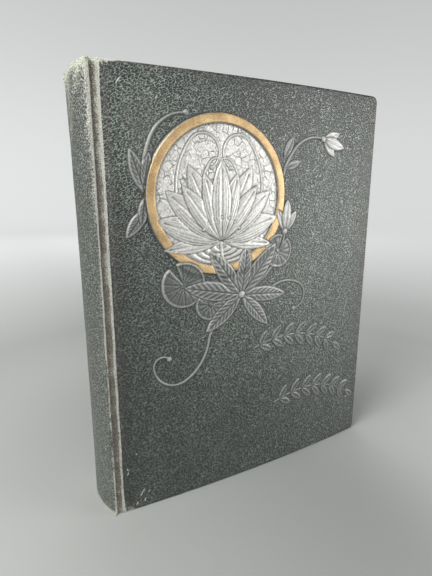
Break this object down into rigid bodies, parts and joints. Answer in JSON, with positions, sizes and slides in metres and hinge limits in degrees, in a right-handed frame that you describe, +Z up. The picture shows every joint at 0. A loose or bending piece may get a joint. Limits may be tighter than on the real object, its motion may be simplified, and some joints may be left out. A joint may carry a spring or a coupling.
{
  "type": "photo album",
  "caption": "Thick postcard album standing shut on its tail edge: bowed leather boards hinged to a rounded spine, ribbed joints, relief and gilt ring in front, card leaves on guards",
  "frame": {"origin": "on the surface that the album stands on, midway between the back of the spine and the fore edge, and midway between the covers", "axes": "+Z up along the spine from tail to head; +X from the spine to the fore edge; +Y from the front cover to the back cover"},
  "size_m": [0.2246, 0.0553, 0.28],
  "materials": {
    "cover_leather": "dark grey-green pebble grain, worn to cream at the ribs",
    "spine_leather": "fine grain, worn to cream at the ribs, head and tail",
    "gilding": "gold leaf, slightly rubbed",
    "millboard": "grey-brown pulp board",
    "endpaper": "cream, lightly mottled",
    "leaf_card": "grey-green card, matt",
    "stub_card": "grey card, cut edges",
    "linen": "plain-woven linen strip",
    "mull": "open starched gauze",
    "lining_paper": "brown paper",
    "tape": "woven cotton tape",
    "thread": "waxed linen thread"
  },
  "bodies": {
    "binding": {"spine_leather": "spine_leather", "front_joint_leather": "spine_leather", "back_joint_leather": "spine_leather", "spine_board": "millboard", "spine_paper_lining": "lining_paper", "spine_mull": "mull", "sewing_tapes": "tape", "sewing_thread": "thread", "guard_stubs": "stub_card"},
    "front_cover": {"front_board": "millboard", "front_cover_leather": "cover_leather", "gilt_ring": "gilding", "front_pastedown": "endpaper"},
    "back_cover": {"back_board": "millboard", "back_cover_leather": "cover_leather", "back_pastedown": "endpaper"},
    "front_flyleaf_sheet": {"front_flyleaf": "endpaper"},
    "back_flyleaf_sheet": {"back_flyleaf": "endpaper"},
    "leaf_01_hung": {"leaf_01": "leaf_card", "guard_01": "linen"},
    "leaf_02_hung": {"leaf_02": "leaf_card", "guard_02": "linen"},
    "leaf_03_hung": {"leaf_03": "leaf_card", "guard_03": "linen"},
    "leaf_04_hung": {"leaf_04": "leaf_card", "guard_04": "linen"},
    "leaf_05_hung": {"leaf_05": "leaf_card", "guard_05": "linen"},
    "leaf_06_hung": {"leaf_06": "leaf_card", "guard_06": "linen"},
    "leaf_07_hung": {"leaf_07": "leaf_card", "guard_07": "linen"},
    "leaf_08_hung": {"leaf_08": "leaf_card", "guard_08": "linen"},
    "leaf_09_hung": {"leaf_09": "leaf_card", "guard_09": "linen"},
    "leaf_10_hung": {"leaf_10": "leaf_card", "guard_10": "linen"},
    "leaf_11_hung": {"leaf_11": "leaf_card", "guard_11": "linen"},
    "leaf_12_hung": {"leaf_12": "leaf_card", "guard_12": "linen"},
    "leaf_13_hung": {"leaf_13": "leaf_card", "guard_13": "linen"},
    "leaf_14_hung": {"leaf_14": "leaf_card", "guard_14": "linen"},
    "leaf_15_hung": {"leaf_15": "leaf_card", "guard_15": "linen"},
    "leaf_16_hung": {"leaf_16": "leaf_card", "guard_16": "linen"},
    "leaf_17_hung": {"leaf_17": "leaf_card", "guard_17": "linen"},
    "leaf_18_hung": {"leaf_18": "leaf_card", "guard_18": "linen"},
    "leaf_19_hung": {"leaf_19": "leaf_card", "guard_19": "linen"},
    "leaf_20_hung": {"leaf_20": "leaf_card", "guard_20": "linen"}
  },
  "joints": [
    {"name": "front_cover_hinge", "type": "hinge", "parent": "binding", "child": "front_cover", "pos_m": [-0.104, -0.0228, 0.14], "axis": [0, 0, -1], "range_deg": [0, 175]},
    {"name": "front_flyleaf_hinge", "type": "hinge", "parent": "binding", "child": "front_flyleaf_sheet", "pos_m": [-0.09985, -0.01792, 0.14], "axis": [0, 0, -1], "range_deg": [0, 117]},
    {"name": "back_cover_hinge", "type": "hinge", "parent": "binding", "child": "back_cover", "pos_m": [-0.104, 0.0228, 0.14], "axis": [0, 0, 1], "range_deg": [0, 175]},
    {"name": "back_flyleaf_hinge", "type": "hinge", "parent": "binding", "child": "back_flyleaf_sheet", "pos_m": [-0.09985, 0.01792, 0.14], "axis": [0, 0, 1], "range_deg": [0, 117]},
    {"name": "leaf_01_hinge", "type": "hinge", "parent": "binding", "child": "leaf_01_hung", "pos_m": [-0.0931, -0.01667, 0.14], "axis": [0, 0, -1], "range_deg": [0, 84]},
    {"name": "leaf_02_hinge", "type": "hinge", "parent": "binding", "child": "leaf_02_hung", "pos_m": [-0.0931, -0.01492, 0.14], "axis": [0, 0, -1], "range_deg": [0, 75.6]},
    {"name": "leaf_03_hinge", "type": "hinge", "parent": "binding", "child": "leaf_03_hung", "pos_m": [-0.0931, -0.01316, 0.14], "axis": [0, 0, -1], "range_deg": [0, 67.2]},
    {"name": "leaf_04_hinge", "type": "hinge", "parent": "binding", "child": "leaf_04_hung", "pos_m": [-0.0931, -0.01141, 0.14], "axis": [0, 0, -1], "range_deg": [0, 58.8]},
    {"name": "leaf_05_hinge", "type": "hinge", "parent": "binding", "child": "leaf_05_hung", "pos_m": [-0.0931, -0.00965, 0.14], "axis": [0, 0, -1], "range_deg": [0, 50.4]},
    {"name": "leaf_06_hinge", "type": "hinge", "parent": "binding", "child": "leaf_06_hung", "pos_m": [-0.0931, -0.0079, 0.14], "axis": [0, 0, -1], "range_deg": [0, 42]},
    {"name": "leaf_07_hinge", "type": "hinge", "parent": "binding", "child": "leaf_07_hung", "pos_m": [-0.0931, -0.00614, 0.14], "axis": [0, 0, -1], "range_deg": [0, 33.6]},
    {"name": "leaf_08_hinge", "type": "hinge", "parent": "binding", "child": "leaf_08_hung", "pos_m": [-0.0931, -0.00439, 0.14], "axis": [0, 0, -1], "range_deg": [0, 25.2]},
    {"name": "leaf_09_hinge", "type": "hinge", "parent": "binding", "child": "leaf_09_hung", "pos_m": [-0.0931, -0.00263, 0.14], "axis": [0, 0, -1], "range_deg": [0, 16.8]},
    {"name": "leaf_10_hinge", "type": "hinge", "parent": "binding", "child": "leaf_10_hung", "pos_m": [-0.0931, -0.00088, 0.14], "axis": [0, 0, -1], "range_deg": [0, 8.4]},
    {"name": "leaf_11_hinge", "type": "hinge", "parent": "binding", "child": "leaf_11_hung", "pos_m": [-0.0931, 0.00088, 0.14], "axis": [0, 0, 1], "range_deg": [0, 8.4]},
    {"name": "leaf_12_hinge", "type": "hinge", "parent": "binding", "child": "leaf_12_hung", "pos_m": [-0.0931, 0.00263, 0.14], "axis": [0, 0, 1], "range_deg": [0, 16.8]},
    {"name": "leaf_13_hinge", "type": "hinge", "parent": "binding", "child": "leaf_13_hung", "pos_m": [-0.0931, 0.00439, 0.14], "axis": [0, 0, 1], "range_deg": [0, 25.2]},
    {"name": "leaf_14_hinge", "type": "hinge", "parent": "binding", "child": "leaf_14_hung", "pos_m": [-0.0931, 0.00614, 0.14], "axis": [0, 0, 1], "range_deg": [0, 33.6]},
    {"name": "leaf_15_hinge", "type": "hinge", "parent": "binding", "child": "leaf_15_hung", "pos_m": [-0.0931, 0.0079, 0.14], "axis": [0, 0, 1], "range_deg": [0, 42]},
    {"name": "leaf_16_hinge", "type": "hinge", "parent": "binding", "child": "leaf_16_hung", "pos_m": [-0.0931, 0.00965, 0.14], "axis": [0, 0, 1], "range_deg": [0, 50.4]},
    {"name": "leaf_17_hinge", "type": "hinge", "parent": "binding", "child": "leaf_17_hung", "pos_m": [-0.0931, 0.01141, 0.14], "axis": [0, 0, 1], "range_deg": [0, 58.8]},
    {"name": "leaf_18_hinge", "type": "hinge", "parent": "binding", "child": "leaf_18_hung", "pos_m": [-0.0931, 0.01316, 0.14], "axis": [0, 0, 1], "range_deg": [0, 67.2]},
    {"name": "leaf_19_hinge", "type": "hinge", "parent": "binding", "child": "leaf_19_hung", "pos_m": [-0.0931, 0.01492, 0.14], "axis": [0, 0, 1], "range_deg": [0, 75.6]},
    {"name": "leaf_20_hinge", "type": "hinge", "parent": "binding", "child": "leaf_20_hung", "pos_m": [-0.0931, 0.01667, 0.14], "axis": [0, 0, 1], "range_deg": [0, 84]}
  ],
  "couplings": [
    {"joint": "front_flyleaf_hinge", "follows": "front_cover_hinge", "ratio": 0.6685},
    {"joint": "back_flyleaf_hinge", "follows": "back_cover_hinge", "ratio": 0.6685},
    {"joint": "leaf_01_hinge", "follows": "front_cover_hinge", "ratio": 0.48},
    {"joint": "leaf_02_hinge", "follows": "front_cover_hinge", "ratio": 0.432},
    {"joint": "leaf_03_hinge", "follows": "front_cover_hinge", "ratio": 0.384},
    {"joint": "leaf_04_hinge", "follows": "front_cover_hinge", "ratio": 0.3359},
    {"joint": "leaf_05_hinge", "follows": "front_cover_hinge", "ratio": 0.288},
    {"joint": "leaf_06_hinge", "follows": "front_cover_hinge", "ratio": 0.24},
    {"joint": "leaf_07_hinge", "follows": "front_cover_hinge", "ratio": 0.192},
    {"joint": "leaf_08_hinge", "follows": "front_cover_hinge", "ratio": 0.144},
    {"joint": "leaf_09_hinge", "follows": "front_cover_hinge", "ratio": 0.096},
    {"joint": "leaf_10_hinge", "follows": "front_cover_hinge", "ratio": 0.048},
    {"joint": "leaf_11_hinge", "follows": "back_cover_hinge", "ratio": 0.048},
    {"joint": "leaf_12_hinge", "follows": "back_cover_hinge", "ratio": 0.096},
    {"joint": "leaf_13_hinge", "follows": "back_cover_hinge", "ratio": 0.144},
    {"joint": "leaf_14_hinge", "follows": "back_cover_hinge", "ratio": 0.192},
    {"joint": "leaf_15_hinge", "follows": "back_cover_hinge", "ratio": 0.24},
    {"joint": "leaf_16_hinge", "follows": "back_cover_hinge", "ratio": 0.288},
    {"joint": "leaf_17_hinge", "follows": "back_cover_hinge", "ratio": 0.3359},
    {"joint": "leaf_18_hinge", "follows": "back_cover_hinge", "ratio": 0.384},
    {"joint": "leaf_19_hinge", "follows": "back_cover_hinge", "ratio": 0.432},
    {"joint": "leaf_20_hinge", "follows": "back_cover_hinge", "ratio": 0.48}
  ]
}
